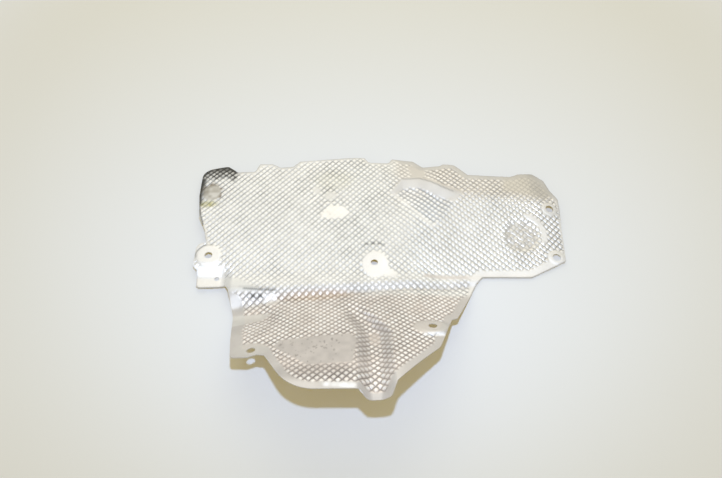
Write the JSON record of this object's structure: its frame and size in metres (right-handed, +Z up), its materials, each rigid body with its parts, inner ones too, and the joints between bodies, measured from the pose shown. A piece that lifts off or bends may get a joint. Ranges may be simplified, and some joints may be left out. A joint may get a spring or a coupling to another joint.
{
  "type": "heat shield",
  "caption": "Pressed and embossed aluminium heat shield with a lobed back panel, a fold with a raised crest, and a climbing front panel with a groove and fixing holes.",
  "frame": {"origin": "centre of the fixing hole in the middle of the back panel, halfway through the sheet", "axes": "+X along the fold towards the wing with the round dish, +Y away from the raised front rim, +Z up out of the back panel"},
  "size_m": [0.391, 0.3224, 0.0744],
  "materials": {
    "sheet": "embossed, sooty and scuffed"
  },
  "bodies": {
    "root": {"heat_shield": "sheet"}
  },
  "joints": []
}
